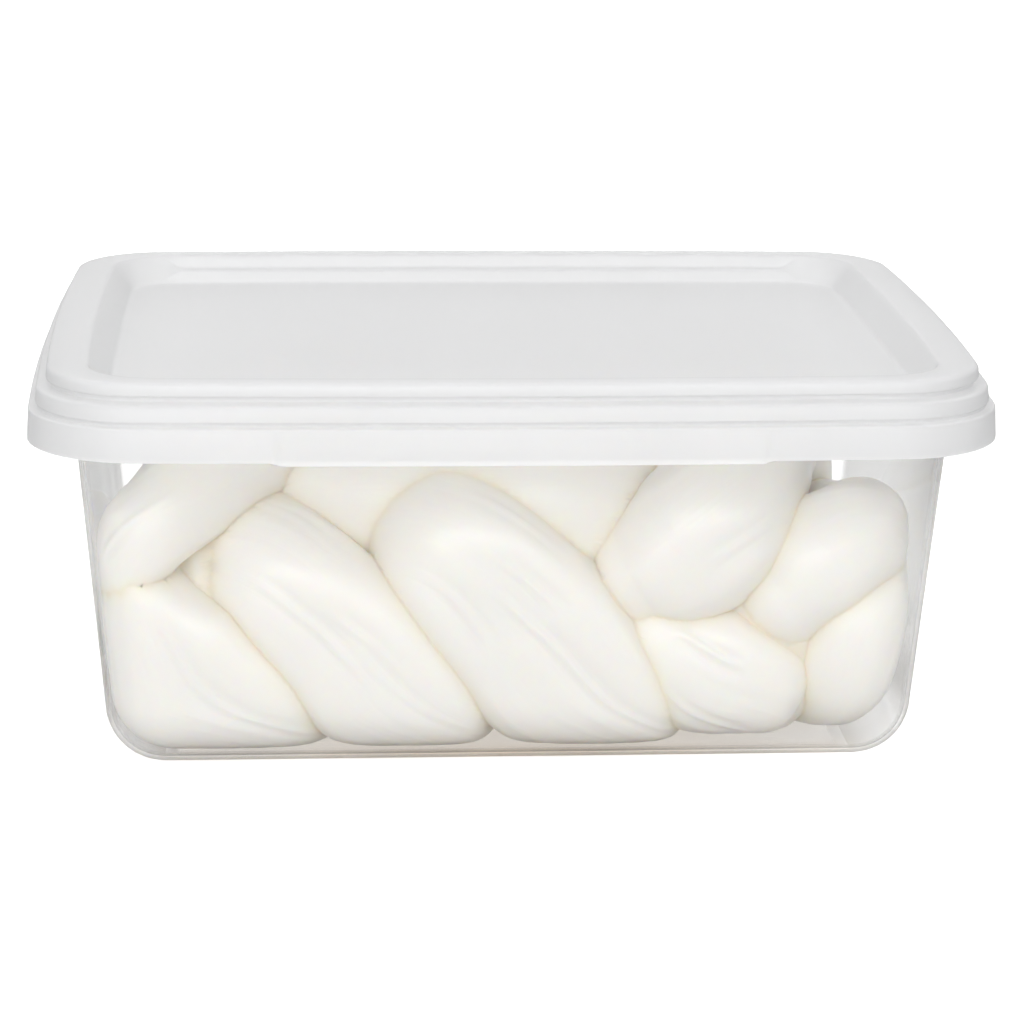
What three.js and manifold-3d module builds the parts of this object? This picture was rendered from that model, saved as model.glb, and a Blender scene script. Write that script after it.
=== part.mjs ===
// Braided mozzarella in its tub: a thin clear rectangular tub, a milky press-fit lid
// and one thick three-strand plait of stretched curd that fills it.
// Millimetres, +Z up. The origin is the middle of the tub's base, which stands on z = 0.
// +X runs along the tub's long side and the plait; the front long side faces -Y.

import * as THREE from 'three';
import { mergeVertices } from 'three/addons/utils/BufferGeometryUtils.js';
import Module from 'manifold-3d';

const wasm = await Module();
wasm.setup();

// Driving dimensions -----------------------------------------------------------------

// Lid: the foot of its skirt is the widest outline of the whole pack.
const LID_HALF_LENGTH = 86;
const LID_HALF_WIDTH = 64;
const LID_CORNER = 18.5;
const SIDE_BOW = 1.9; // how far each side swells between its corners
const SKIRT_FOOT = 60; // height of the skirt's lower edge
const LID_TOP = 73.5;
const LID_SKIN = 0.9; // wall thickness
const LEDGE_SINK = 2.6; // how far the ledge lies below the top ring
const PANEL_SINK = 5.1; // how far the middle panel lies below the top ring
const RECESS_ENDS = 2.5; // the recess starts this much further in at the short sides
const LEDGE_REACH = 61.8; // the ledge runs this far along both long sides, then slopes off
const LEDGE_SLOPE = 2.4; // length of the slope at each end of the ledge

// Tub: its wall stands in from the skirt and tapers towards the base.
const WALL_INSET = 9.2; // from the skirt's outline to the wall, at the skirt's foot
const WALL_TAPER = 0.08; // extra inset for each millimetre further down
const TUB_CORNER = 13;
const TUB_SKIN = 0.8;
const BASE_ROUND = 10.5; // radius between the base and the wall
const RIM_INSET = 5.4; // the upright rim that the lid presses over
const RIM_TOP = 71.7;
const FLANGE_HEIGHT = 61;
const FLANGE_INSET = 1.7;
const FLANGE_THICKNESS = 0.8;
const NECK_HEIGHT = 58.6; // where the wall ends and the neck spreads to the flange
const NECK_SPREAD = 3.4; // the neck meets the flange this far in from the rim
const EDGE_ROUND = 0.3; // softening of the rim's edges and the lid's steps

// Curd: clearances to the tub that squeeze the plait.
const WALL_CLEARANCE = 0.3;
const FLOOR_CLEARANCE = 0.35;
const SQUEEZE_DEPTH = 4; // the curd starts to flatten this far from a wall

// Rounded rectangular outlines -----------------------------------------------------

const CORNER_STEPS = 6;
const LONG_SIDE_STOPS = [0.015, 0.2, 0.4, 0.6, 0.8, 0.985]; // shares of its straight part
const SHORT_SIDE_STOPS = [0.25, 0.5, 0.75];

// One closed outline, counted the same way round for every ring of a moulding.
function outline(halfX, halfY, corner, bow) {
  const points = [];
  const corners = [[1, 1, 0], [-1, 1, 1], [-1, -1, 2], [1, -1, 3]];
  corners.forEach(([sx, sy, quarter]) => {
    const centre = new THREE.Vector2(sx * (halfX - corner), sy * (halfY - corner));
    for (let step = 0; step <= CORNER_STEPS; step += 1) {
      const angle = (quarter + step / CORNER_STEPS) * Math.PI / 2;
      points.push(new THREE.Vector2(corner, 0).rotateAround(new THREE.Vector2(), angle).add(centre));
    }
    const end = points[points.length - 1];
    const next = quarter % 2 === 0
      ? new THREE.Vector2(-sx * (halfX - corner), end.y)
      : new THREE.Vector2(end.x, -sy * (halfY - corner));
    const stops = quarter % 2 === 0 ? LONG_SIDE_STOPS : SHORT_SIDE_STOPS;
    stops.forEach((share) => points.push(end.clone().lerp(next, share)));
  });
  // Away from the middle of a side the outline draws in, which leaves the sides bowed.
  points.forEach((point) => {
    const u = point.x / halfX;
    const v = point.y / halfY;
    point.set(point.x - bow * u * v * v, point.y - bow * v * u * u);
  });
  return points;
}

// A moulded shell, its profile given from the middle of one side to the middle of the other.
// Each row is [inset from the skirt, height, corner radius, bow, further inset of the ends,
// height at the short sides, past the ledge's ends].
function moulding(profile) {
  const rings = profile.map(([inset, , corner, bow, ends]) => (
    outline(LID_HALF_LENGTH - inset - ends, LID_HALF_WIDTH - inset, corner, bow)));
  const first = profile[0];
  const last = profile[profile.length - 1];
  const rows = [
    new THREE.Vector2(0, first[1]),
    ...profile.map(([inset, height]) => new THREE.Vector2(LID_HALF_WIDTH - inset, height)),
    new THREE.Vector2(0, last[1]),
  ];
  const sides = rings[0].length;
  const geometry = new THREE.LatheGeometry(rows, sides);
  const place = geometry.getAttribute('position');
  for (let side = 0; side <= sides; side += 1) {
    rows.forEach((row, index) => {
      const at = side * rows.length + index;
      const ring = rings[index - 1];
      const point = ring ? ring[side % sides] : new THREE.Vector2();
      const atShortSide = profile[index - 1]?.[5] ?? row.y;
      const past = THREE.MathUtils.clamp((Math.abs(point.x) - LEDGE_REACH) / LEDGE_SLOPE, 0, 1);
      place.setXYZ(at, point.x, point.y, THREE.MathUtils.lerp(row.y, atShortSide, past));
    });
  }
  return geometry;
}

// Solids -----------------------------------------------------------------------------

function toSolid(geometry) {
  geometry.deleteAttribute('normal');
  geometry.deleteAttribute('uv');
  const merged = mergeVertices(geometry, 1e-4);
  return new wasm.Manifold(new wasm.Mesh({
    numProp: 3,
    vertProperties: new Float32Array(merged.getAttribute('position').array),
    triVerts: new Uint32Array(merged.getIndex().array),
  }));
}

function toMesh(name, solid, material) {
  const { vertProperties, triVerts } = solid.getMesh();
  const geometry = new THREE.BufferGeometry();
  geometry.setAttribute('position', new THREE.BufferAttribute(vertProperties, 3));
  geometry.setIndex(new THREE.BufferAttribute(triVerts, 1));
  geometry.computeVertexNormals();
  const mesh = new THREE.Mesh(geometry, material);
  mesh.name = name;
  return mesh;
}

// Tub --------------------------------------------------------------------------------

const FILLET_STEPS = 4;

const wallInsetAt = (height) => WALL_INSET + WALL_TAPER * (SKIRT_FOOT - height);
const wallCornerAt = (height) => TUB_CORNER - 0.5 * WALL_TAPER * (SKIRT_FOOT - height);
const rimCornerAt = (inset) => LID_CORNER - inset;

// The rounding between the base and the wall, from the base upwards.
function baseRounding(skin) {
  const rows = [];
  const radius = BASE_ROUND - skin;
  for (let step = 0; step <= FILLET_STEPS; step += 1) {
    const angle = (step / FILLET_STEPS) * Math.PI / 2;
    const inward = radius * (1 - Math.sin(angle));
    const height = BASE_ROUND - radius * Math.cos(angle);
    const corner = Math.max(wallCornerAt(BASE_ROUND) - skin - inward, 1);
    rows.push([wallInsetAt(BASE_ROUND) + skin + inward, height, corner, 0, 0]);
  }
  return rows;
}

function tubSolid() {
  const under = FLANGE_HEIGHT - 0.5 * FLANGE_THICKNESS;
  const over = FLANGE_HEIGHT + 0.5 * FLANGE_THICKNESS;
  const inner = RIM_INSET + TUB_SKIN;
  const wallTop = (skin) => (
    [wallInsetAt(NECK_HEIGHT) + skin, NECK_HEIGHT, wallCornerAt(NECK_HEIGHT) - skin, 0, 0]);
  const ring = (inset, height) => [inset, height, rimCornerAt(inset), SIDE_BOW, 0];
  const outside = [
    ...baseRounding(0),
    wallTop(0),
    ring(RIM_INSET + NECK_SPREAD, under),
    ring(FLANGE_INSET, under),
    ring(FLANGE_INSET, over),
    ring(RIM_INSET, over),
    ring(RIM_INSET, RIM_TOP - EDGE_ROUND),
    ring(RIM_INSET + EDGE_ROUND, RIM_TOP),
  ];
  const inside = [
    ring(inner - EDGE_ROUND, RIM_TOP),
    ring(inner, RIM_TOP - EDGE_ROUND),
    ring(inner, over + EDGE_ROUND),
    ring(RIM_INSET + NECK_SPREAD + EDGE_ROUND, over),
    wallTop(TUB_SKIN),
    ...baseRounding(TUB_SKIN).reverse(),
  ];
  return toSolid(moulding([...outside, ...inside]));
}

const tub = toMesh('tub', tubSolid(), new THREE.MeshStandardMaterial({
  color: 0xeef1f1,
  roughness: 0.12,
  metalness: 0,
  transparent: true,
  opacity: 0.35,
}));

// Lid --------------------------------------------------------------------------------

const SKIRT_TOP = SKIRT_FOOT + 6.3;
const MIDDLE_RING = LID_TOP - 3.5; // top of the ring between the skirt and the top ring
const LEDGE_TOP = LID_TOP - LEDGE_SINK;
const PANEL_TOP = LID_TOP - PANEL_SINK;
const RECESS_INSET = 7; // rows further in than this belong to the recess
const RECESS_CORNER = 8;
const STRAIGHTENED = 14.2; // the recess loses the sides' bow towards this inset

const recessed = (inset) => THREE.MathUtils.clamp(inset - RECESS_INSET, 0, 1);
const bowAt = (inset) => SIDE_BOW
  * THREE.MathUtils.clamp((STRAIGHTENED - inset) / (STRAIGHTENED - RECESS_INSET), 0, 1);

// Each row is inset, height and, where the long sides have a ledge, the height at the short
// sides, which slope straight to the panel. The outside runs from the skirt's foot to the
// middle panel, the inside from its underside back to the foot.
function lidSolid() {
  const under = PANEL_TOP - LID_SKIN;
  const outside = [
    [0, SKIRT_FOOT],
    [0.35, SKIRT_TOP - EDGE_ROUND],
    [0.7, SKIRT_TOP],
    [1.9, SKIRT_TOP + 0.1],
    [1.9, SKIRT_TOP + 0.6],
    [1.5, SKIRT_TOP + 0.9],
    [1.8, MIDDLE_RING - 0.6],
    [2.4, MIDDLE_RING],
    [4.3, MIDDLE_RING + 0.2],
    [4.3, MIDDLE_RING + 0.9],
    [3.4, MIDDLE_RING + 1.3],
    [3.4, LID_TOP - 0.6],
    [4.2, LID_TOP],
    [8, LID_TOP],
    [8.6, LEDGE_TOP + EDGE_ROUND, LID_TOP - 0.5],
    [9, LEDGE_TOP, LID_TOP - 1],
    [11.6, LEDGE_TOP, PANEL_TOP + 1.1],
    [12.2, PANEL_TOP + EDGE_ROUND, PANEL_TOP + 0.4],
    [12.7, PANEL_TOP],
  ];
  const inside = [
    [12, under],
    [11.4, under + EDGE_ROUND, under + 0.5],
    [11.1, LEDGE_TOP - LID_SKIN, PANEL_TOP],
    [7.9, LEDGE_TOP - LID_SKIN, LID_TOP - 1.4],
    [7.4, LID_TOP - LID_SKIN],
    [5.1, LID_TOP - LID_SKIN],
    [5.1, MIDDLE_RING - 0.5],
    [2.8, MIDDLE_RING - LID_SKIN],
    [2.6, SKIRT_TOP + EDGE_ROUND],
    [1.25, SKIRT_TOP - LID_SKIN],
    [LID_SKIN, SKIRT_FOOT],
  ];
  const ring = ([inset, height, atShortSide]) => (
    [inset, height, Math.max(rimCornerAt(inset), RECESS_CORNER), bowAt(inset),
      RECESS_ENDS * recessed(inset), atShortSide]);
  return toSolid(moulding([...inside, ...outside].map(ring)));
}

const lid = toMesh('lid', lidSolid(), new THREE.MeshStandardMaterial({
  color: 0xe9ebea,
  roughness: 0.38,
  metalness: 0,
}));

// Braid ------------------------------------------------------------------------------

// The plait is laid from passes of one soft rope of curd. Each pass runs over the top of
// the plait and down one of its sides; each row is one bend: x, y, z and the rope's radius.
const PASSES = [
  // Left shoulder: up from the left end, over the top and down the back.
  [[-72, -42, 35, 8.5], [-62, -40, 45, 8.5], [-49, -23, 52, 12],
    [-36, 8, 51, 14], [-32, 32, 33, 15], [-22, 32, 14, 14]],
  // Left foot: tucked under the shoulder, down the front into the left corner.
  [[-70, -40, 26, 14], [-62, -40, 16, 17.5], [-50, -38, 9, 15.5], [-38, -26, 8, 13]],
  // First front pass.
  [[-53, 6, 41, 11], [-49, -16, 36, 12], [-42, -35, 33, 13.2],
    [-30, -39, 22, 14.5], [-18, -39, 9, 14], [-7, -16, 9, 12]],
  // Middle front pass, the thickest.
  [[-25, 2, 42, 12], [-17, -22, 41, 12.5], [-8.5, -37, 36.5, 15.5],
    [3, -39, 24, 17], [15, -39, 10, 15.5], [26, -16, 9, 13]],
  // Tucked behind the middle pass, over the top and down the back.
  [[-34, -22, 44, 12], [-12, -27, 44, 14], [11, -24, 43, 17.5], [22, 4, 42, 18], [27, 31, 14, 15]],
  // Upper right: out from under the middle pass and up over the top.
  [[23, -37, 33, 10.5], [30.5, -38, 37.5, 13.8], [38, -35, 43.5, 14.3],
    [45, -15, 51, 13.5], [52, 14, 46, 14], [57, 32, 17, 13]],
  // Top right: the rope's end, laid up into the right corner.
  [[49, -39, 29, 9.5], [55.5, -38, 35, 12], [63, -34, 39, 10.5],
    [64, -14, 32, 11.5], [64, 12, 25, 12]],
  // Lower right: a short pass that comes out below the upper right one.
  [[26, -38, 21.5, 10], [35, -39, 16, 12.5], [43, -38, 13.5, 11.5], [47, -35, 12, 10]],
  // Right end, folded under.
  [[69, -20, 32, 10], [64, -37, 26, 10.5], [60.5, -38, 14, 9], [55, -28, 8, 8]],
  // Left end, folded round to the back.
  [[-65, -4, 30, 12], [-63, 24, 21, 13], [-52, 33, 13, 12]],
  // Middle of the plait, where the passes cross.
  [[-54, -24, 31, 18.5], [-20, -6, 27, 22], [20, -8, 26, 22], [51, -25, 23.5, 20.5]],
];
const ROPE_SIDES = 12;
const STEPS_PER_BEND = 3;
const CAP_STEPS = 2;
const CAP_LENGTH = 0.8; // how far a rounded end reaches, in radii
const SIDEWAYS = new THREE.Vector3(0, 0.94, 0.34);
const CURD_ROUND = 10; // how tightly the curd fills the tub's corners

// A rope through its bends, from a unit capsule whose length is the way along the bends.
function rope(bends) {
  const middle = new THREE.CatmullRomCurve3(
    bends.map(([x, y, z]) => new THREE.Vector3(x, y, z)), false, 'catmullrom');
  const girth = new THREE.CatmullRomCurve3(
    bends.map(([, , , radius]) => new THREE.Vector3(radius, 0, 0)), false, 'catmullrom');
  const capsule = new THREE.CapsuleGeometry(
    1, 1, CAP_STEPS, ROPE_SIDES, STEPS_PER_BEND * (bends.length - 1));
  const place = capsule.getAttribute('position');
  for (let i = 0; i < place.count; i += 1) {
    const lengthwise = place.getY(i) + 0.5;
    const along = THREE.MathUtils.clamp(lengthwise, 0, 1);
    const beyond = (lengthwise - along) * CAP_LENGTH;
    const tangent = middle.getTangent(along);
    const across = SIDEWAYS.clone().addScaledVector(tangent, -SIDEWAYS.dot(tangent)).normalize();
    const upright = new THREE.Vector3().crossVectors(tangent, across);
    const radius = girth.getPoint(along).x;
    const point = middle.getPoint(along)
      .addScaledVector(tangent, beyond * radius)
      .addScaledVector(across, place.getX(i) * radius)
      .addScaledVector(upright, -place.getZ(i) * radius);
    squeeze(point);
    place.setXYZ(i, point.x, point.y, point.z);
  }
  return toSolid(capsule);
}

// Curd that would press through the tub's wall or base flattens softly against it.
function squeeze(point) {
  const inset = wallInsetAt(point.z) + TUB_SKIN + WALL_CLEARANCE;
  const over = new THREE.Vector3(
    Math.abs(point.x) - (LID_HALF_LENGTH - inset - CURD_ROUND),
    Math.abs(point.y) - (LID_HALF_WIDTH - inset - CURD_ROUND),
    TUB_SKIN + FLOOR_CLEARANCE + CURD_ROUND - point.z,
  );
  const nearest = Math.max(over.x, over.y, over.z);
  const outward = nearest > 0
    ? over.clone().max(new THREE.Vector3())
    : new THREE.Vector3(...over.toArray().map((value) => (value === nearest ? 1 : 0)));
  const reach = nearest > 0 ? outward.length() : nearest;
  const depth = CURD_ROUND - reach;
  if (depth >= SQUEEZE_DEPTH) return;
  const pressed = SQUEEZE_DEPTH * Math.exp((depth - SQUEEZE_DEPTH) / SQUEEZE_DEPTH);
  outward.normalize().multiplyScalar(pressed - depth);
  point.x -= Math.sign(point.x) * outward.x;
  point.y -= Math.sign(point.y) * outward.y;
  point.z += outward.z;
}

// The curd closes on itself: only the joined passes' outer skin counts, no hollow within.
const braidSolid = PASSES.map(rope).reduce((sum, pass) => sum.add(pass)).decompose()
  .reduce((largest, shell) => (shell.volume() > largest.volume() ? shell : largest));

const braid = toMesh('braid', braidSolid, new THREE.MeshStandardMaterial({
  color: 0xf3ecdc,
  roughness: 0.34,
  metalness: 0,
}));

const pack = new THREE.Group();
pack.add(tub, lid, braid);

export default pack;
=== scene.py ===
import bmesh
import bpy
import math
import numpy as np
from mathutils import Matrix, Vector, kdtree, noise


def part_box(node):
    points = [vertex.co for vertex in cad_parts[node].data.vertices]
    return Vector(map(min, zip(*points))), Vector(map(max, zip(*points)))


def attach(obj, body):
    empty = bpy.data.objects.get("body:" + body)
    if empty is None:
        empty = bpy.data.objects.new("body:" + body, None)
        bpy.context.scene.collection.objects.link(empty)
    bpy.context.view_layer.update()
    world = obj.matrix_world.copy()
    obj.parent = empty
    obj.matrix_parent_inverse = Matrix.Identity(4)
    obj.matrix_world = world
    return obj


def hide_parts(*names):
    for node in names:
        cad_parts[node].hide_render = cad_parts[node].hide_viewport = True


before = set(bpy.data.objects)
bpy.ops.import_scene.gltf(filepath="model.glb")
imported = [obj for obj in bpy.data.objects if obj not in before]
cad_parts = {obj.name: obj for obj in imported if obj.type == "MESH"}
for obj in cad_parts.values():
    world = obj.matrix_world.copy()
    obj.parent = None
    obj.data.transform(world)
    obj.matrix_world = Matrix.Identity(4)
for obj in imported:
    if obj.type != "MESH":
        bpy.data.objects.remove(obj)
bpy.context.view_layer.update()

MM = 0.001


# ---------------------------------------------------------------------------------
# The tub: one thin clear moulding of polypropylene. Its walls taper to a flat base,
# and its neck opens into a flange and an upright rim that the lid presses over.
# ---------------------------------------------------------------------------------

lid_low, lid_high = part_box("lid")
tub_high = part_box("tub")[1]
half_length = lid_high[0]
half_width = lid_high[1]
skirt_foot = lid_low[2]
lid_top = lid_high[2]
lid_corner = 18.5 * MM
side_bow = 1.9 * MM

wall_inset = 9.2 * MM
wall_taper = 0.08
tub_skin = 0.8 * MM
tub_corner = 13 * MM
base_round = 10.5 * MM
rim_inset = 5.4 * MM
rim_top = tub_high[2]
flange_height = skirt_foot + 1 * MM
flange_inset = half_length - tub_high[0]
flange_half = 0.4 * MM
neck_height = skirt_foot - 1.4 * MM
neck_spread = 3.4 * MM
# The band at the tub's base that is tinted warm: painted shade for the shaded band under the curd.
shade_band_top = 6 * MM
shade_band_bottom = 1.5 * MM
shade_band_reach = 68 * MM
shade_band_fade = 10 * MM
corner_steps = 12
base_round_steps = 10
# Shares of each side where the rings have places, closest where the lid's ledge ends.
side_stops = (0.012, 0.024, 0.036, 0.06, 0.1, 0.15, 0.172, 0.176, 0.181, 0.186, 0.191, 0.196, 0.2, 0.24,
              0.32, 0.41)


def outline(inset, corner, bow, ends=0):
    """Places round a rectangle with round corners; its sides swell by the bow."""
    half = np.array((half_length - inset - ends, half_width - inset))
    stops = np.array(side_stops + (0.5,) + tuple(1 - stop for stop in side_stops[::-1]))[:, None]
    places = []
    for quarter, flip in enumerate(((1, 1), (-1, 1), (-1, -1), (1, -1))):
        angles = (quarter + np.linspace(0, 1, corner_steps + 1)) * math.pi / 2
        turn = flip * (half - corner) + corner * np.stack([np.cos(angles), np.sin(angles)], 1)
        ahead = turn[-1] * ((-1, 1) if quarter % 2 == 0 else (1, -1))
        places += [turn, turn[-1] + (ahead - turn[-1]) * stops]
    places = np.vstack(places)
    share = places / half
    return places - bow * share * share[:, ::-1] ** 2


def rounded(profile, steps=3):
    """A profile of inset, height and softness rows, its corners drawn as small arcs."""
    points = [Vector(row[:2]) for row in profile]
    rows = [points[0]]
    for index in range(1, len(points) - 1):
        before, corner, after = points[index - 1:index + 2]
        back, on = before - corner, after - corner
        reach = min(profile[index][2], 0.48 * back.length, 0.48 * on.length)
        start, end = corner + reach * back.normalized(), corner + reach * on.normalized()
        for step in range(steps + 1):
            t = step / steps
            rows.append((1 - t) ** 2 * start + 2 * t * (1 - t) * corner + t * t * end)
    return rows + [points[-1]]


def rings(rows):
    """The places round each row of inset, height, corner radius, bow and ends."""
    places = []
    for inset, height, *shape in rows:
        flat = outline(inset, *shape)
        places.append(np.column_stack([flat, np.full(len(flat), height)]))
    return places


def moulding(places):
    """A closed shell: a ring of edges is extruded from row to row and filled at both ends."""
    bm = bmesh.new()
    ring = list(bmesh.ops.create_circle(bm, segments=len(places[0]), radius=half_width)["verts"])
    edges = list(bm.edges)
    bmesh.ops.edgeloop_fill(bm, edges=edges)
    for index, row in enumerate(places):
        if index:
            grown = bmesh.ops.extrude_edge_only(bm, edges=edges)["geom"]
            fresh = {item for item in grown if isinstance(item, bmesh.types.BMVert)}
            edges = [item for item in grown if isinstance(item, bmesh.types.BMEdge)
                     and fresh.issuperset(item.verts)]
            ring = [next(other for other in (edge.other_vert(vert) for edge in vert.link_edges)
                         if other in fresh) for vert in ring]
        for vert, place in zip(ring, row):
            vert.co = place
    bmesh.ops.edgeloop_fill(bm, edges=edges)
    bmesh.ops.recalc_face_normals(bm, faces=bm.faces)
    return bm


def finished(name, bm, material, smooth=True):
    """The mesh as an object of its own, placed at the origin, in its material."""
    mesh = bpy.data.meshes.new(name)
    bm.to_mesh(mesh)
    bm.free()
    mesh.materials.append(material)
    mesh.polygons.foreach_set("use_smooth", [smooth] * len(mesh.polygons))
    piece = bpy.data.objects.new(name, mesh)
    bpy.context.collection.objects.link(piece)
    return piece


def wall_inset_at(height):
    """How far the tapered wall stands in from the skirt's outline at a height."""
    return wall_inset + wall_taper * (skirt_foot - height)


def base_rounding(skin):
    """The flat base and the rounding between it and the wall, from the base upwards."""
    radius = base_round - skin
    corner = tub_corner - 0.5 * wall_taper * (skirt_foot - base_round) - skin
    inset = wall_inset_at(base_round) + skin
    rows = [(inset + radius + 2 * MM, skin, 1 * MM, 0)]
    for step in range(base_round_steps + 1):
        angle = 0.5 * math.pi * step / base_round_steps
        inward = radius * (1 - math.sin(angle))
        height = base_round - radius * math.cos(angle)
        rows.append((inset + inward, height, max(corner - inward, 1 * MM), 0))
    return rows


def tub_mesh():
    """Out and up the outside of the tub, over its flange and rim, and back down the inside."""
    under = flange_height - flange_half
    over = flange_height + flange_half
    inner = rim_inset + tub_skin
    rim = rounded([
        (wall_inset_at(neck_height), neck_height, 0),
        (rim_inset + neck_spread, under, 0.5 * MM),
        (flange_inset, under, 0.3 * MM),
        (flange_inset, over, 0.3 * MM),
        (rim_inset, over, 0.3 * MM),
        (rim_inset, rim_top, 0.35 * MM),
        (inner, rim_top, 0.35 * MM),
        (inner, over + 0.5 * MM, 0.6 * MM),
        (rim_inset + 3.6 * MM, over, 0.6 * MM),
        (wall_inset_at(neck_height) + tub_skin, neck_height, 0)])
    rim = [(inset, height, lid_corner - inset, side_bow) for inset, height in rim[1:-1]]
    neck = (wall_inset_at(neck_height), neck_height, tub_corner, 0)
    inner_neck = (neck[0] + tub_skin, neck_height, tub_corner - tub_skin, 0)
    rows = base_rounding(0) + [neck] + rim + [inner_neck] + base_rounding(tub_skin)[::-1]
    return moulding(rings(rows))


def clear_plastic():
    """Thin clear plastic, dimmer where it is seen edge on; its base is tinted warm as painted shade under
    the curd.
    """
    material = bpy.data.materials.new("clear tub plastic")
    material.use_nodes = True
    nodes, links = material.node_tree.nodes, material.node_tree.links
    shader = nodes["Principled BSDF"]
    shader.inputs["Base Color"].default_value = (0.7, 0.7, 0.7, 1)
    shader.inputs["Transmission Weight"].default_value = 1
    shader.inputs["IOR"].default_value = 1.49
    shader.inputs["Roughness"].default_value = 0.04
    place = nodes.new("ShaderNodeTexCoord")
    split = nodes.new("ShaderNodeSeparateXYZ")
    links.new(place.outputs["Object"], split.inputs[0])
    low = nodes.new("ShaderNodeMapRange")
    low.inputs["From Min"].default_value = shade_band_top
    low.inputs["From Max"].default_value = shade_band_bottom
    links.new(split.outputs["Z"], low.inputs["Value"])
    aside = nodes.new("ShaderNodeMath")
    aside.operation = "ABSOLUTE"
    links.new(split.outputs["X"], aside.inputs[0])
    amid = nodes.new("ShaderNodeMapRange")
    amid.inputs["From Min"].default_value = shade_band_reach
    amid.inputs["From Max"].default_value = shade_band_reach - shade_band_fade
    links.new(aside.outputs[0], amid.inputs["Value"])
    base_shade_mask = nodes.new("ShaderNodeMath")
    base_shade_mask.operation = "MULTIPLY"
    links.new(low.outputs["Result"], base_shade_mask.inputs[0])
    links.new(amid.outputs["Result"], base_shade_mask.inputs[1])
    # Painted shade: what the base lets through under the curd turns warm and a little darker.
    base_shade_tint = nodes.new("ShaderNodeMix")
    base_shade_tint.data_type = "RGBA"
    base_shade_tint.inputs["A"].default_value = (0.97, 0.97, 0.968, 1)
    base_shade_tint.inputs["B"].default_value = (0.968, 0.953, 0.934, 1)
    links.new(base_shade_mask.outputs[0], base_shade_tint.inputs["Factor"])
    through = nodes.new("ShaderNodeBsdfTransparent")
    links.new(base_shade_tint.outputs["Result"], through.inputs["Color"])
    edge = nodes.new("ShaderNodeLayerWeight")
    edge.inputs["Blend"].default_value = 0.5
    straight = nodes.new("ShaderNodeMapRange")
    straight.inputs["From Min"].default_value = 0.6
    straight.inputs["From Max"].default_value = 0.97
    straight.inputs["To Min"].default_value = 0.98
    straight.inputs["To Max"].default_value = 0.05
    links.new(edge.outputs["Facing"], straight.inputs["Value"])
    lamp_ray = nodes.new("ShaderNodeLightPath")
    share = nodes.new("ShaderNodeMath")
    share.operation = "MAXIMUM"
    links.new(lamp_ray.outputs["Is Shadow Ray"], share.inputs[0])
    links.new(straight.outputs["Result"], share.inputs[1])
    mix = nodes.new("ShaderNodeMixShader")
    links.new(share.outputs[0], mix.inputs[0])
    links.new(shader.outputs[0], mix.inputs[1])
    links.new(through.outputs[0], mix.inputs[2])
    links.new(mix.outputs[0], nodes["Material Output"].inputs["Surface"])
    return material


tub = finished("tub_shell", tub_mesh(), clear_plastic())
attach(tub, "root")
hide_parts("tub")


# ---------------------------------------------------------------------------------
# The braid: three thick ropes of warm stretched curd, plaited by hand and pressed
# into the tub while soft, so they flatten on its walls and close up on each other.
# ---------------------------------------------------------------------------------

# The passes shape the plait's front. The back is unfinished: four of them come over the
# top and end there in blunt tips, short of the wall, with empty space between them.
# Each row is one bend in millimetres: x, y, z and the rope's radius.
passes = {
    "left shoulder": [
        (-72, -42, 35, 8.5), (-62, -40, 45, 8.5), (-49, -23, 52, 12),
        (-36, 8, 51, 14), (-32, 32, 33, 15), (-22, 32, 14, 14)],
    "left foot": [(-70, -40, 26, 14), (-62, -40, 16, 17.5), (-50, -38, 9, 15.5), (-38, -26, 8, 13)],
    "first front": [
        (-53, 6, 41, 11), (-49, -16, 36, 12), (-42, -35, 33, 13.2),
        (-30, -39, 22, 14.5), (-18, -39, 9, 14), (-7, -16, 9, 12)],
    "middle front": [
        (-25, 2, 42, 12), (-17, -22, 41, 12.5), (-8.5, -37, 36.5, 15.5),
        (3, -39, 24, 17), (15, -39, 10, 15.5), (26, -16, 9, 13)],
    "tucked behind": [
        (-34, -22, 44, 12), (-12, -27, 44, 14), (11, -24, 43, 17.5), (22, 4, 42, 18), (27, 31, 14, 15)],
    "upper right": [
        (23, -37, 33, 10.5), (30.5, -38, 37.5, 13.8), (38, -35, 43.5, 14.3),
        (45, -15, 51, 13.5), (52, 14, 46, 14), (57, 32, 17, 13)],
    "top right": [
        (49, -39, 29, 9.5), (55.5, -38, 35, 12), (63, -34, 39, 10.5),
        (64, -14, 32, 11.5), (64, 12, 25, 12)],
    "lower right": [(26, -38, 21.5, 10), (35, -39, 16, 12.5), (43, -38, 13.5, 11.5), (47, -35, 12, 10)],
    "right end": [(69, -20, 32, 10), (64, -37, 26, 10.5), (60.5, -38, 14, 9), (55, -28, 8, 8)],
    "left end": [(-65, -4, 30, 12), (-63, 24, 21, 13), (-52, 33, 13, 12)],
    "heart": [(-54, -24, 31, 18.5), (-20, -6, 27, 22), (20, -8, 26, 22), (51, -25, 23.5, 20.5)],
}
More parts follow.
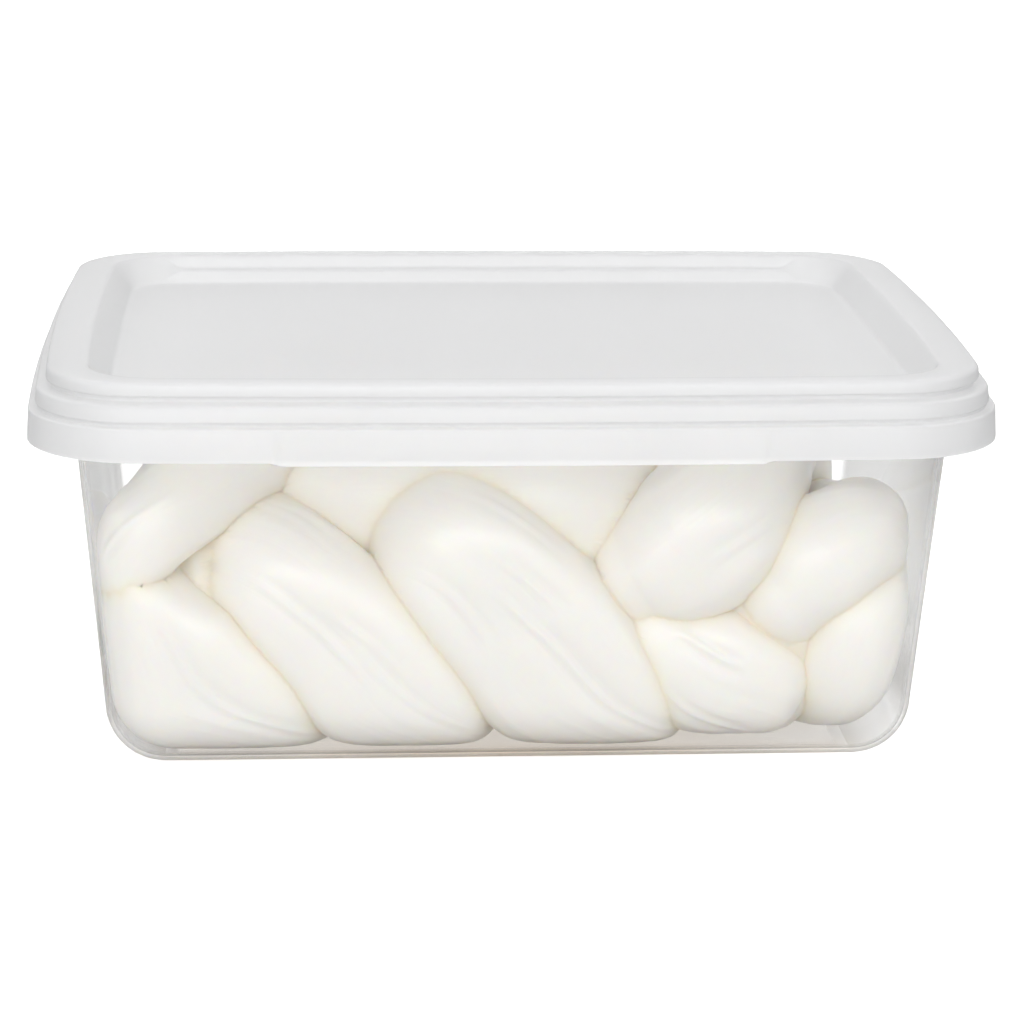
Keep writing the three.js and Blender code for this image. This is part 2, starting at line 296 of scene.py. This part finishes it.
# Folds drawn out of the curd as it was stretched: the angle round the rope at both ends,
# the way along the rope at both ends, and the height.
folds = {
    "left shoulder": [(-2.16, -2.36, 0, 15, 0.35)],
    "left foot": [(-2.4, -2.85, 3, 34, 0.6)],
    "first front": [
        (-2.85, -2.95, 46, 70, 0.5), (-2.62, -2.5, 53, 74, 0.35),
        (-2.8, -2.6, 66, 80, 0.3), (-1.4, -1.85, 39, 50, 0.3)],
    "middle front": [
        (3.14, 3.0, 43, 57, 0.45), (-2.82, -2.66, 50, 84, 0.7),
        (-1.9, -1.83, 40, 54, 0.35), (-2.48, -2.42, 47, 62, 0.55)],
    "upper right": [(-2.95, -3.0, 12, 18, 0.3)],
    "lower right": [(-2.36, -2.42, 2, 15, 0.6), (2.95, 2.6, 6, 19, 0.4)],
}
fold_width = 0.8 * MM
steps_per_bend = 12
wall_gap = 0.3 * MM
floor_gap = 0.35 * MM
squeeze_depth = 4 * MM
curd_round = 10 * MM
cap_share = 0.09
cap_reach = 0.8
rope_twist = 0.018
strand_stretch = 0.16
swell_size, swell_height = 7, 0.5
hollow_size, hollow_depth = 3.4, 0.28
crease_shade_reach = 1.3 * MM
smoothings = 2


def along_bends(bends):
    """A smooth run through the bends, as rows of x, y, z and radius in metres."""
    stops = np.array(bends) * MM
    stops = np.vstack([2 * stops[0] - stops[1], stops, 2 * stops[-1] - stops[-2]])
    t = np.linspace(0, 1, steps_per_bend, endpoint=False)[:, None]
    runs = []
    for a, b, c, d in zip(stops, stops[1:], stops[2:], stops[3:]):
        runs.append(0.5 * (2 * b + (c - a) * t + (2 * a - 5 * b + 4 * c - d) * t ** 2
                           + (3 * b - a - 3 * c + d) * t ** 3))
    runs.append(stops[-2:-1])
    return np.vstack(runs)


def directions(middle):
    """The rope's own axes at each step: along it, across it and up from it."""
    along = np.gradient(middle, axis=0)
    along /= np.linalg.norm(along, axis=1)[:, None]
    sideways = np.array((0, 0.94, 0.34))
    across = sideways - along * (along @ sideways)[:, None]
    across /= np.linalg.norm(across, axis=1)[:, None]
    return along, across, np.cross(along, across)


def pressed(points):
    """Curd that would press through the tub's wall or base flattens softly against it."""
    inset = wall_inset_at(points[:, 2]) + tub_skin + wall_gap
    over = np.stack([
        np.abs(points[:, 0]) - (half_length - inset - curd_round),
        np.abs(points[:, 1]) - (half_width - inset - curd_round),
        tub_skin + floor_gap + curd_round - points[:, 2]], 1)
    nearest = over.max(1)
    outward = np.where(nearest[:, None] > 0, np.maximum(over, 0), over == nearest[:, None])
    reach = np.where(nearest > 0, np.linalg.norm(outward, axis=1), nearest)
    outward = outward / np.linalg.norm(outward, axis=1)[:, None]
    depth = curd_round - reach
    kept = np.where(depth < squeeze_depth, squeeze_depth * np.exp(depth / squeeze_depth - 1), depth)
    signs = np.stack([np.sign(points[:, 0]), np.sign(points[:, 1]), -np.ones(len(points))], 1)
    return points - signs * outward * (kept - depth)[:, None]


def fold_dips(turn, way, radius, rows):
    """How far the curd sinks on both sides of the crests that follow a rope."""
    dips = np.zeros(len(turn))
    for turn_a, turn_b, way_a, way_b, height in rows:
        share = (way / MM - way_a) / (way_b - way_a)
        aside = (turn - turn_a - (turn_b - turn_a) * share + math.pi) % (2 * math.pi) - math.pi
        aside = (aside * radius / fold_width) ** 2
        taper = np.sqrt(np.sin(math.pi * np.clip(share, 0, 1)))
        dips += 2 * height * MM * taper * np.exp(-aside / 9) * (1 - np.exp(-aside))
    return dips


def strands(turn, way, radius, seed):
    """Broad soft swellings of stretched curd, and the faint hollows between its strands."""
    swell, hollow = np.empty((2, len(turn)))
    for index, (angle, reach, girth) in enumerate(zip(turn, way / MM, radius / MM)):
        angle += rope_twist * reach
        place = Vector((math.cos(angle) * girth, math.sin(angle) * girth, strand_stretch * reach))
        swell[index] = swell_height * noise.noise(place / swell_size + Vector((seed, 0, 0)))
        hollow[index] = hollow_depth * abs(
            noise.noise(place / hollow_size + Vector((0, seed, 0))))
    return swell * MM, hollow * MM


def rope(name, bends, number):
    """One pass of rope: a round body drawn out along its bends, with rounded ends."""
    bm = bmesh.new()
    bmesh.ops.create_uvsphere(bm, u_segments=144, v_segments=16 * len(bends), radius=1)
    ball = np.array([vert.co for vert in bm.verts])
    turn = np.arctan2(ball[:, 1], ball[:, 0])
    level = np.arccos(np.clip(ball[:, 2], -1, 1)) / math.pi
    run = along_bends(bends)
    along, across, upright = directions(run[:, :3])
    step = np.clip((level - cap_share) / (1 - 2 * cap_share), 0, 1) * (len(run) - 1)
    frames = np.hstack([run, along, across, upright])
    low = np.minimum(step.astype(int), len(run) - 2)
    blend = (step - low)[:, None]
    frames = frames[low] * (1 - blend) + frames[low + 1] * blend
    middle, radius = frames[:, :3], frames[:, 3]
    bend = np.clip(np.minimum(level, 1 - level) / cap_share, 0, 1) * math.pi / 2
    beyond = np.sign(level - 0.5) * np.cos(bend) * cap_reach * radius
    reach = np.concatenate([[0], np.cumsum(np.linalg.norm(np.diff(run[:, :3], axis=0), axis=1))])
    way = np.interp(step, np.arange(len(run)), reach) + beyond
    swell, hollow = strands(turn, way, radius, 7.3 * number)
    girth = np.sin(bend) * (radius + swell)
    middle = middle + frames[:, 4:7] * beyond[:, None]
    points = middle.copy()
    points += frames[:, 7:10] * (np.cos(turn) * girth)[:, None]
    points -= frames[:, 10:13] * (np.sin(turn) * girth)[:, None]
    points = pressed(points)
    inward = (middle - points) / (np.linalg.norm(middle - points, axis=1)[:, None] + 0.1 * MM)
    dips = hollow + fold_dips(turn, way, radius, folds.get(name, []))
    for vert, point in zip(bm.verts, points + inward * (dips * np.sin(bend))[:, None]):
        vert.co = point
    mesh = bpy.data.meshes.new("rope")
    bm.to_mesh(mesh)
    bm.free()
    grain = np.stack([np.cos(turn) * radius, np.sin(turn) * radius, way], 1)
    mesh.attributes.new("grain", "FLOAT_VECTOR", "POINT").data.foreach_set("vector", grain.ravel())
    mesh.attributes.new("pass", "INT", "FACE").data.foreach_set("value", [number] * len(mesh.polygons))
    piece = bpy.data.objects.new("rope", mesh)
    bpy.context.collection.objects.link(piece)
    return piece


def braid_mesh():
    """The passes joined into one body, with a mask of the creases where they meet for the curd's painted
    crease shade.
    """
    ropes = [rope(name, bends, number) for number, (name, bends) in enumerate(passes.items(), 1)]
    for piece in ropes[1:]:
        join = ropes[0].modifiers.new("join", "BOOLEAN")
        join.object = piece
        join.operation = "UNION"
        join.solver = "MANIFOLD"
    joined = bpy.data.meshes.new_from_object(ropes[0].evaluated_get(bpy.context.evaluated_depsgraph_get()))
    for piece in ropes:
        bpy.data.objects.remove(piece)
    bm = bmesh.new()
    bm.from_mesh(joined)
    skin, front = set(), [max(bm.verts, key=lambda vert: vert.co.z)]
    while front:
        skin.update(front)
        front = {edge.other_vert(vert) for vert in front for edge in vert.link_edges} - skin
    bmesh.ops.delete(bm, geom=[vert for vert in bm.verts if vert not in skin], context="VERTS")
    for _ in range(smoothings):
        bmesh.ops.smooth_vert(
            bm, verts=bm.verts, factor=0.5, use_axis_x=True, use_axis_y=True, use_axis_z=True)
    number = bm.faces.layers.int["pass"]
    grain = bm.verts.layers.float_vector["grain"]
    seam = [vert for vert in bm.verts if len({face[number] for face in vert.link_faces}) > 1]
    tree = kdtree.KDTree(len(seam))
    for index, vert in enumerate(seam):
        tree.insert(vert.co, index)
        if vert[grain].length == 0:
            known = [edge.other_vert(vert)[grain] for edge in vert.link_edges]
            known = [value for value in known if value.length > 0]
            vert[grain] = sum(known, Vector()) / max(len(known), 1)
    tree.balance()
    # Nearness to the seams between passes, which paints the warm crease shade on the curd.
    crease = bm.verts.layers.float.new("crease")
    for vert in bm.verts:
        vert[crease] = math.exp(-tree.find(vert.co)[2] / crease_shade_reach)
    return bm


def curd():
    """Moist white curd with painted shade, warmer and darker deep in its creases, and fine fibres along
    each rope.
    """
    material = bpy.data.materials.new("moist curd")
    material.use_nodes = True
    nodes, links = material.node_tree.nodes, material.node_tree.links
    shader = nodes["Principled BSDF"]
    shader.inputs["Subsurface Weight"].default_value = 0.7
    shader.inputs["Subsurface Radius"].default_value = (1.0, 0.75, 0.45)
    shader.inputs["Subsurface Scale"].default_value = 0.004
    place = nodes.new("ShaderNodeTexCoord")
    patches = nodes.new("ShaderNodeTexNoise")
    patches.inputs["Scale"].default_value = 70
    patches.inputs["Detail"].default_value = 3
    links.new(place.outputs["Object"], patches.inputs["Vector"])
    body = nodes.new("ShaderNodeMix")
    body.data_type = "RGBA"
    body.inputs["A"].default_value = (0.99, 0.955, 0.905, 1)
    body.inputs["B"].default_value = (0.988, 0.935, 0.88, 1)
    links.new(patches.outputs["Fac"], body.inputs["Factor"])
    crease = nodes.new("ShaderNodeAttribute")
    crease.attribute_name = "crease"
    # Painted shade: the curd's colour turns warmer and darker towards the creases.
    crease_shade = nodes.new("ShaderNodeMix")
    crease_shade.data_type = "RGBA"
    crease_shade.inputs["B"].default_value = (0.95, 0.87, 0.75, 1)
    links.new(crease.outputs["Fac"], crease_shade.inputs["Factor"])
    links.new(body.outputs["Result"], crease_shade.inputs["A"])
    links.new(crease_shade.outputs["Result"], shader.inputs["Base Color"])
    shader.inputs["Roughness"].default_value = 0.3
    grain = nodes.new("ShaderNodeAttribute")
    grain.attribute_name = "grain"
    drawn = nodes.new("ShaderNodeVectorMath")
    drawn.operation = "MULTIPLY"
    drawn.inputs[1].default_value = (900, 900, 60)
    links.new(grain.outputs["Vector"], drawn.inputs[0])
    fibres = nodes.new("ShaderNodeTexNoise")
    fibres.inputs["Scale"].default_value = 1
    fibres.inputs["Detail"].default_value = 3
    links.new(drawn.outputs["Vector"], fibres.inputs["Vector"])
    bump = nodes.new("ShaderNodeBump")
    bump.inputs["Strength"].default_value = 0.15
    bump.inputs["Distance"].default_value = 0.0004
    links.new(fibres.outputs["Fac"], bump.inputs["Height"])
    links.new(bump.outputs["Normal"], shader.inputs["Normal"])
    return material


braid = finished("braid_curd", braid_mesh(), curd())
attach(braid, "root")
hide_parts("braid")


# ---------------------------------------------------------------------------------
# The lid: a milky moulding of natural polypropylene that presses over the tub's rim.
# Its skirt carries two stepped rings, and a ledge leads down to its sunk panel.
# ---------------------------------------------------------------------------------

lid_skin = 0.9 * MM
ledge_top = lid_top - 2.6 * MM
panel_top = lid_top - 5.1 * MM
recess_ends = 2.5 * MM
middle_ring = lid_top - 3.5 * MM
skirt_top = skirt_foot + 6.3 * MM
ledge_reach = 61.8 * MM
ledge_slope = 2.8 * MM
straightened = 14.2 * MM
grip_end = 42.4 * MM
notch_half = 1.2 * MM
notch_depth = 0.6 * MM
side_lift = 0.5 * MM
recess_inset = 7 * MM
recess_corner = 8 * MM


def lid_rings(outer_ledge, inner_ledge):
    """The skirt, its stepped rings and the recess, with the given heights across the ledge."""
    outside = [
        (0.4 * MM, skirt_foot, 0),
        (0, skirt_foot, 0.25 * MM),
        (0.35 * MM, skirt_top, 0.4 * MM),
        (1.9 * MM, skirt_top + 0.1 * MM, 0.15 * MM),
        (1.9 * MM, skirt_top + 0.6 * MM, 0.15 * MM),
        (1.5 * MM, skirt_top + 0.9 * MM, 0.2 * MM),
        (1.8 * MM, middle_ring, 0.6 * MM),
        (4.3 * MM, middle_ring + 0.2 * MM, 0.2 * MM),
        (4.3 * MM, middle_ring + 0.9 * MM, 0.2 * MM),
        (3.4 * MM, middle_ring + 1.3 * MM, 0.25 * MM),
        (3.6 * MM, lid_top, 0.8 * MM),
        (8.2 * MM, lid_top, 0.5 * MM),
        (8.7 * MM, outer_ledge[0], 0.5 * MM),
        (11.7 * MM, outer_ledge[1], 0.5 * MM),
        (12.4 * MM, panel_top, 0.5 * MM),
        (15 * MM, panel_top, 0)]
    inside = [
        (14.4 * MM, panel_top - lid_skin, 0),
        (11.7 * MM, panel_top - lid_skin, 0.5 * MM),
        (11.1 * MM, inner_ledge[1], 0.5 * MM),
        (7.9 * MM, inner_ledge[0], 0.5 * MM),
        (7.4 * MM, lid_top - lid_skin, 0.5 * MM),
        (5.1 * MM, lid_top - lid_skin, 0.5 * MM),
        (5.1 * MM, middle_ring - 0.5 * MM, 0.4 * MM),
        (2.8 * MM, middle_ring - lid_skin, 0.5 * MM),
        (2.6 * MM, skirt_top + 0.3 * MM, 0.4 * MM),
        (1.25 * MM, skirt_top - lid_skin, 0.5 * MM),
        (lid_skin, skirt_foot, 0.2 * MM),
        (0.5 * MM, skirt_foot, 0)]
    rows = []
    for inset, height in rounded(inside) + rounded(outside):
        recessed = min(max((inset - recess_inset) / MM, 0), 1)
        bow = side_bow * min(max((straightened - inset) / (straightened - recess_inset), 0), 1)
        rows.append((inset, height, max(lid_corner - inset, recess_corner), bow, recess_ends * recessed))
    return rings(rows)


def lid_mesh():
    """The ledge runs along the long sides; the short sides slope straight down to the panel."""
    long_sides = lid_rings((ledge_top, ledge_top), (ledge_top - lid_skin, ledge_top - lid_skin))
    short_sides = lid_rings(
        (lid_top - 0.6 * MM, panel_top + 0.9 * MM), (lid_top - 1.4 * MM, panel_top))
    places = []
    for along, across in zip(long_sides, short_sides):
        past = np.clip((np.abs(along[:, :1]) - ledge_reach) / ledge_slope, 0, 1)
        places.append(along + (across - along) * past)
    bm = moulding(places)
    for vert in bm.verts:
        x, y, z = vert.co
        if z > skirt_top:
            continue
        beside = (abs(x) - grip_end) / notch_half
        if abs(y) > half_width - 0.7 * MM and abs(beside) < 1:
            vert.co.y -= math.copysign(notch_depth * math.cos(0.5 * math.pi * beside), y)
        lift = side_lift * min(max(0.5 + 0.5 * beside, 0), 1)
        vert.co.z += lift * (skirt_top - z) / (skirt_top - skirt_foot)
    return bm


def milky_plastic():
    """Cloudy natural plastic, with a painted highlight: whiter at the skirt's hem, for the light its thick
    plastic gathers.
    """
    material = bpy.data.materials.new("milky lid plastic")
    material.use_nodes = True
    nodes, links = material.node_tree.nodes, material.node_tree.links
    shader = nodes["Principled BSDF"]
    place = nodes.new("ShaderNodeTexCoord")
    split = nodes.new("ShaderNodeSeparateXYZ")
    links.new(place.outputs["Object"], split.inputs[0])
    # Painted highlight: the base colour turns whiter towards the skirt's foot.
    hem_highlight = nodes.new("ShaderNodeMapRange")
    hem_highlight.inputs["From Min"].default_value = skirt_foot + 1.2 * MM
    hem_highlight.inputs["From Max"].default_value = skirt_foot + 0.2 * MM
    links.new(split.outputs["Z"], hem_highlight.inputs["Value"])
    body = nodes.new("ShaderNodeMix")
    body.data_type = "RGBA"
    body.inputs["A"].default_value = (0.895, 0.897, 0.903, 1)
    body.inputs["B"].default_value = (0.99, 0.99, 0.99, 1)
    links.new(hem_highlight.outputs["Result"], body.inputs["Factor"])
    links.new(body.outputs["Result"], shader.inputs["Base Color"])
    shader.inputs["Transmission Weight"].default_value = 0.5
    shader.inputs["IOR"].default_value = 1.49
    shader.inputs["Roughness"].default_value = 0.38
    through = nodes.new("ShaderNodeBsdfTransparent")
    through.inputs["Color"].default_value = (0.88, 0.88, 0.87, 1)
    lamp_ray = nodes.new("ShaderNodeLightPath")
    mix = nodes.new("ShaderNodeMixShader")
    links.new(lamp_ray.outputs["Is Shadow Ray"], mix.inputs[0])
    links.new(shader.outputs[0], mix.inputs[1])
    links.new(through.outputs[0], mix.inputs[2])
    links.new(mix.outputs[0], nodes["Material Output"].inputs["Surface"])
    return material


lid = finished("lid_shell", lid_mesh(), milky_plastic())
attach(lid, "root")
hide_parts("lid")


# ---------------------------------------------------------------------------------
# The studio: a white table and room, one soft lamp in front, and a long lens a
# little above the lid.
# ---------------------------------------------------------------------------------

def seen_directly(nodes, links):
    """One for what the camera sees past the pack, zero for what lights it or shows through it."""
    ray = nodes.new("ShaderNodeLightPath")
    unveiled = nodes.new("ShaderNodeMath")
    unveiled.operation = "LESS_THAN"
    unveiled.inputs[1].default_value = 0.5
    links.new(ray.outputs["Transparent Depth"], unveiled.inputs[0])
    seen = nodes.new("ShaderNodeMath")
    seen.operation = "MULTIPLY"
    links.new(ray.outputs["Is Camera Ray"], seen.inputs[0])
    links.new(unveiled.outputs[0], seen.inputs[1])
    return seen.outputs[0]


def white_table():
    """White where it is seen past the pack; what lights the pack is darker far to both sides.

    What shows through the tub has painted shade and warm bounce light under the curd, and a painted glow,
    seen only by the camera, lifts it behind the pack.
    """
    material = bpy.data.materials.new("white table")
    material.use_nodes = True
    nodes, links = material.node_tree.nodes, material.node_tree.links
    shader = nodes["Principled BSDF"]
    shader.inputs["Base Color"].default_value = (0.97, 0.97, 0.97, 1)
    shader.inputs["Roughness"].default_value = 0.9
    shader.inputs["Emission Color"].default_value = (1, 1, 1, 1)
    shader.inputs["Emission Strength"].default_value = 0.55
    place = nodes.new("ShaderNodeTexCoord")
    split = nodes.new("ShaderNodeSeparateXYZ")
    links.new(place.outputs["Object"], split.inputs[0])
    aside = nodes.new("ShaderNodeMath")
    aside.operation = "ABSOLUTE"
    links.new(split.outputs["X"], aside.inputs[0])
    far = nodes.new("ShaderNodeMapRange")
    far.inputs["From Min"].default_value = 0.15
    far.inputs["From Max"].default_value = 0.4
    links.new(aside.outputs[0], far.inputs["Value"])
    tone = nodes.new("ShaderNodeMix")
    tone.data_type = "RGBA"
    tone.inputs["A"].default_value = (0.8, 0.8, 0.8, 1)
    tone.inputs["B"].default_value = (0.22, 0.22, 0.22, 1)
    links.new(far.outputs["Result"], tone.inputs["Factor"])
    spread = nodes.new("ShaderNodeVectorMath")
    spread.operation = "DIVIDE"
    spread.inputs[1].default_value = (0.8 * half_length, 0.72 * half_width, 1)
    links.new(place.outputs["Object"], spread.inputs[0])
    reach = nodes.new("ShaderNodeVectorMath")
    reach.operation = "LENGTH"
    links.new(spread.outputs["Vector"], reach.inputs[0])
    below = nodes.new("ShaderNodeMapRange")
    below.inputs["From Min"].default_value = 1.1
    below.inputs["From Max"].default_value = 0.8
    links.new(reach.outputs["Value"], below.inputs["Value"])
    # Painted shade and warm bounce light: under the pack, the table seen through the tub turns dim and
    # cream.
    under_pack_shade = nodes.new("ShaderNodeMix")
    under_pack_shade.data_type = "RGBA"
    under_pack_shade.inputs["B"].default_value = (0.7, 0.635, 0.555, 1)
    links.new(below.outputs["Result"], under_pack_shade.inputs["Factor"])
    links.new(tone.outputs["Result"], under_pack_shade.inputs["A"])
    matte = nodes.new("ShaderNodeBsdfDiffuse")
    links.new(under_pack_shade.outputs["Result"], matte.inputs["Color"])
    between = nodes.new("ShaderNodeMapRange")
    between.inputs["From Min"].default_value = 0.13
    between.inputs["From Max"].default_value = 0.1
    links.new(aside.outputs[0], between.inputs["Value"])
    near = nodes.new("ShaderNodeMapRange")
    near.inputs["From Min"].default_value = -0.02
    near.inputs["From Max"].default_value = 0.06
    near.inputs["To Min"].default_value = 0.5
    near.inputs["To Max"].default_value = 0.57
    links.new(split.outputs["Y"], near.inputs["Value"])
    behind = nodes.new("ShaderNodeMath")
    behind.operation = "MULTIPLY"
    links.new(between.outputs["Result"], behind.inputs[0])
    links.new(near.outputs["Result"], behind.inputs[1])
    # Painted light: a glow that lights nothing, warm under the pack and faint behind it, seen through the
    # tub.
    light = nodes.new("ShaderNodeMix")
    light.data_type = "RGBA"
    light.inputs["B"].default_value = (0.44, 0.4, 0.35, 1)
    links.new(below.outputs["Result"], light.inputs["Factor"])
    links.new(behind.outputs[0], light.inputs["A"])
    painted_glow = nodes.new("ShaderNodeEmission")
    links.new(light.outputs["Result"], painted_glow.inputs["Color"])
    ray = nodes.new("ShaderNodeLightPath")
    links.new(ray.outputs["Is Camera Ray"], painted_glow.inputs["Strength"])
    lit = nodes.new("ShaderNodeAddShader")
    links.new(matte.outputs[0], lit.inputs[0])
    links.new(painted_glow.outputs[0], lit.inputs[1])
    mix = nodes.new("ShaderNodeMixShader")
    links.new(seen_directly(nodes, links), mix.inputs[0])
    links.new(lit.outputs[0], mix.inputs[1])
    links.new(shader.outputs[0], mix.inputs[2])
    links.new(mix.outputs[0], nodes["Material Output"].inputs["Surface"])
    return material


def floor():
    """One flat square far wider than the view."""
    bm = bmesh.new()
    bmesh.ops.create_grid(bm, x_segments=1, y_segments=1, size=4)
    return finished("table", bm, white_table(), smooth=False)


table = floor()

world = bpy.data.worlds.new("white room")
bpy.context.scene.world = world
world.use_nodes = True
nodes, links = world.node_tree.nodes, world.node_tree.links
backdrop = nodes["Background"]
backdrop.inputs["Color"].default_value = (1, 1, 1, 1)
backdrop.inputs["Strength"].default_value = 1
direction = nodes.new("ShaderNodeTexCoord")
split = nodes.new("ShaderNodeSeparateXYZ")
links.new(direction.outputs["Generated"], split.inputs[0])
aside = nodes.new("ShaderNodeMath")
aside.operation = "ABSOLUTE"
links.new(split.outputs["X"], aside.inputs[0])
lower = nodes.new("ShaderNodeMath")
lower.operation = "SUBTRACT"
lower.inputs[0].default_value = 1
links.new(split.outputs["Z"], lower.inputs[1])
low_aside = nodes.new("ShaderNodeMath")
low_aside.operation = "MULTIPLY"
links.new(aside.outputs[0], low_aside.inputs[0])
links.new(lower.outputs[0], low_aside.inputs[1])
dimming = nodes.new("ShaderNodeMapRange")
dimming.inputs["From Min"].default_value = 0.45
dimming.inputs["From Max"].default_value = 0.95
dimming.inputs["To Min"].default_value = 1.21
dimming.inputs["To Max"].default_value = 0.2
links.new(low_aside.outputs[0], dimming.inputs["Value"])
room = nodes.new("ShaderNodeBackground")
links.new(dimming.outputs["Result"], room.inputs["Strength"])
mix = nodes.new("ShaderNodeMixShader")
links.new(seen_directly(nodes, links), mix.inputs[0])
links.new(room.outputs[0], mix.inputs[1])
links.new(backdrop.outputs[0], mix.inputs[2])
links.new(mix.outputs[0], nodes["World Output"].inputs["Surface"])


def lamp(name, place, aim, size, power):
    """A soft rectangular lamp in metres and watts, turned to face its aim."""
    light = bpy.data.lights.new(name, "AREA")
    light.shape = "RECTANGLE"
    light.size, light.size_y = size
    light.energy = power
    holder = bpy.data.objects.new(name, light)
    holder.location = place
    holder.rotation_euler = (Vector(aim) - Vector(place)).to_track_quat("-Z", "Y").to_euler()
    bpy.context.collection.objects.link(holder)


lamp("front lamp", (-0.2, -1.2, 0.55), (0, 0, 0.03), (1.4, 0.8), 6)

view = bpy.data.cameras.new("view")
view.sensor_width = 36
view.lens = 110.7
view.clip_start = 0.01
holder = bpy.data.objects.new("view", view)
pitch, yaw, roll = 0.2712, 0.0723, 0.0129
view_place = (-0.03917, -0.57816, 0.19535)
forward = Vector((math.sin(yaw) * math.cos(pitch), math.cos(yaw) * math.cos(pitch), -math.sin(pitch)))
level = Vector((math.cos(yaw), -math.sin(yaw), 0))
upward = level.cross(forward)
right = math.cos(roll) * level + math.sin(roll) * upward
top = -math.sin(roll) * level + math.cos(roll) * upward
turn = Matrix((right, top, -forward)).transposed().to_4x4()
holder.matrix_world = Matrix.Translation(view_place) @ turn
bpy.context.collection.objects.link(holder)
bpy.context.scene.camera = holder
bpy.context.scene.view_settings.view_transform = "Standard"
